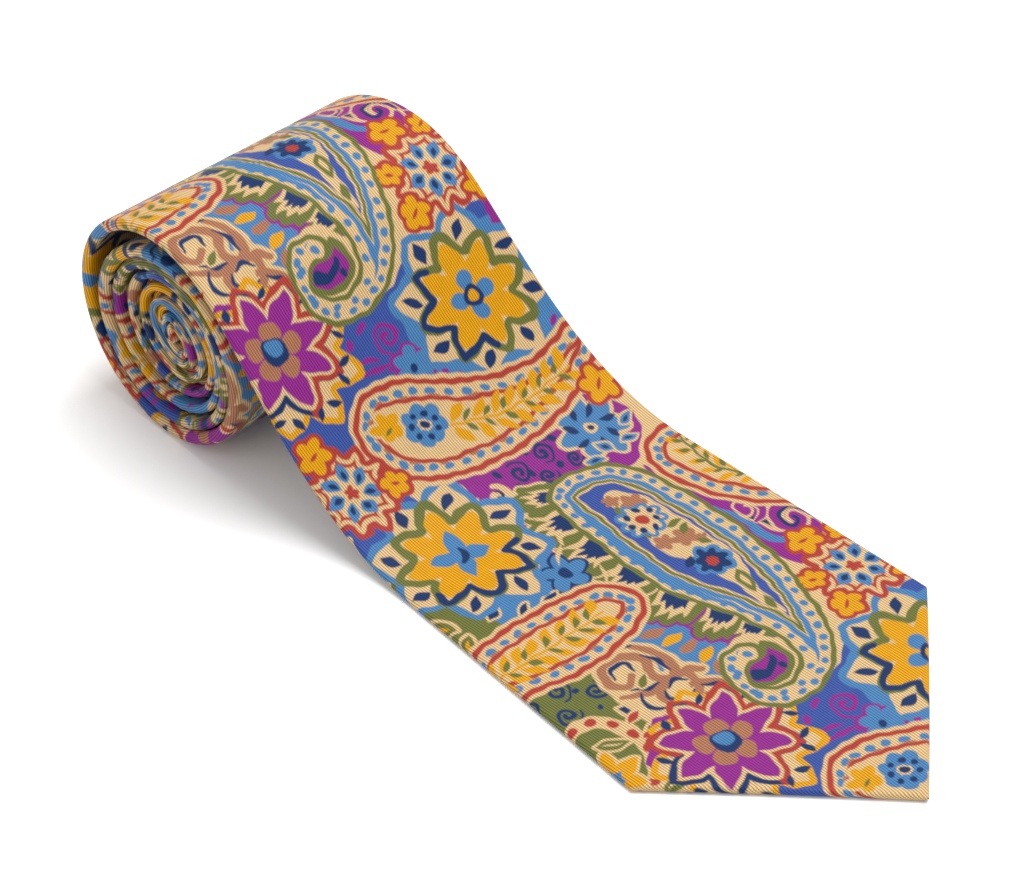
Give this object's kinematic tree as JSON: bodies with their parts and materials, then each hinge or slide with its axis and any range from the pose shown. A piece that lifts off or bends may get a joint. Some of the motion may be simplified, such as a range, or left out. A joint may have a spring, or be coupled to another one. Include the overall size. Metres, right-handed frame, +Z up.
{
  "type": "necktie",
  "caption": "Printed silk necktie rolled up from its folded middle, with the wide pointed blade drawn off the roll and laid flat.",
  "frame": {"origin": "bottom centre of the bounding box, on the ground that the tie rests on", "axes": "+X along the flat blade towards its tip, +Y across the tie, +Z up"},
  "size_m": [0.2391, 0.0955, 0.0614],
  "materials": {
    "printed_silk": "printed twill silk, soft sheen",
    "printed_silk_neck": "printed twill silk, soft sheen",
    "printed_silk_tail": "printed twill silk, soft sheen",
    "interlining_wool": "brushed wool blend, matt",
    "tipping_silk": "plain lining silk, soft sheen",
    "loop_silk": "plain silk, soft sheen",
    "label_cloth": "woven label, blank",
    "sewing_thread": "silk sewing thread"
  },
  "bodies": {
    "roll": {"silk_blade_rise": "printed_silk", "silk_blade_rolled": "printed_silk", "silk_neck": "printed_silk_neck", "silk_tail": "printed_silk_tail", "interlining_blade": "interlining_wool", "interlining_tail": "interlining_wool", "tipping_tail": "tipping_silk", "keeper_loop": "loop_silk", "blank_label": "label_cloth", "slip_stitch_thread": "sewing_thread", "bar_tack_blade": "sewing_thread", "bar_tack_tail": "sewing_thread", "seam_thread_blade_to_neck": "sewing_thread", "seam_thread_neck_to_tail": "sewing_thread", "keeper_loop_stitches_near": "sewing_thread", "keeper_loop_stitches_far": "sewing_thread", "label_stitches_near": "sewing_thread", "label_stitches_far": "sewing_thread"},
    "blade_free_end": {"silk_blade_free_end": "printed_silk", "interlining_free_end": "interlining_wool", "tipping_blade": "tipping_silk"}
  },
  "joints": [
    {"name": "blade_lift", "type": "hinge", "parent": "roll", "child": "blade_free_end", "pos_m": [-0.0017, 0, 0.0055], "axis": [0, -1, 0], "range_deg": [0, 75]}
  ]
}
